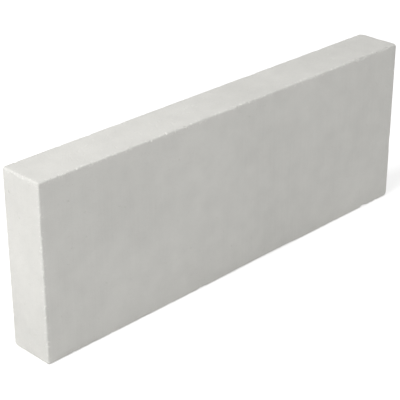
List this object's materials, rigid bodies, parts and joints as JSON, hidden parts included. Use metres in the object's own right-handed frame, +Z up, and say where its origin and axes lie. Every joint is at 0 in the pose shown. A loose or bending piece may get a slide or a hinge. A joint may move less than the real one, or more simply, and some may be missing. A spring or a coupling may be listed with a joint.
{
  "type": "aerated concrete block",
  "caption": "Plain solid block of pale grey aerated concrete, long, low and thin, laid on its narrow edge in partition walls.",
  "frame": {"origin": "middle of the lower bed face, which stands on the floor or in the mortar", "axes": "+X along the wall (the length), +Y through the wall (the thickness), +Z up (the height of one course)"},
  "size_m": [0.6, 0.06, 0.22],
  "materials": {
    "aerated_concrete": "matte, wire-sawn and finely porous, with rubbed arrises"
  },
  "bodies": {
    "root": {"block": "aerated_concrete"}
  },
  "joints": []
}
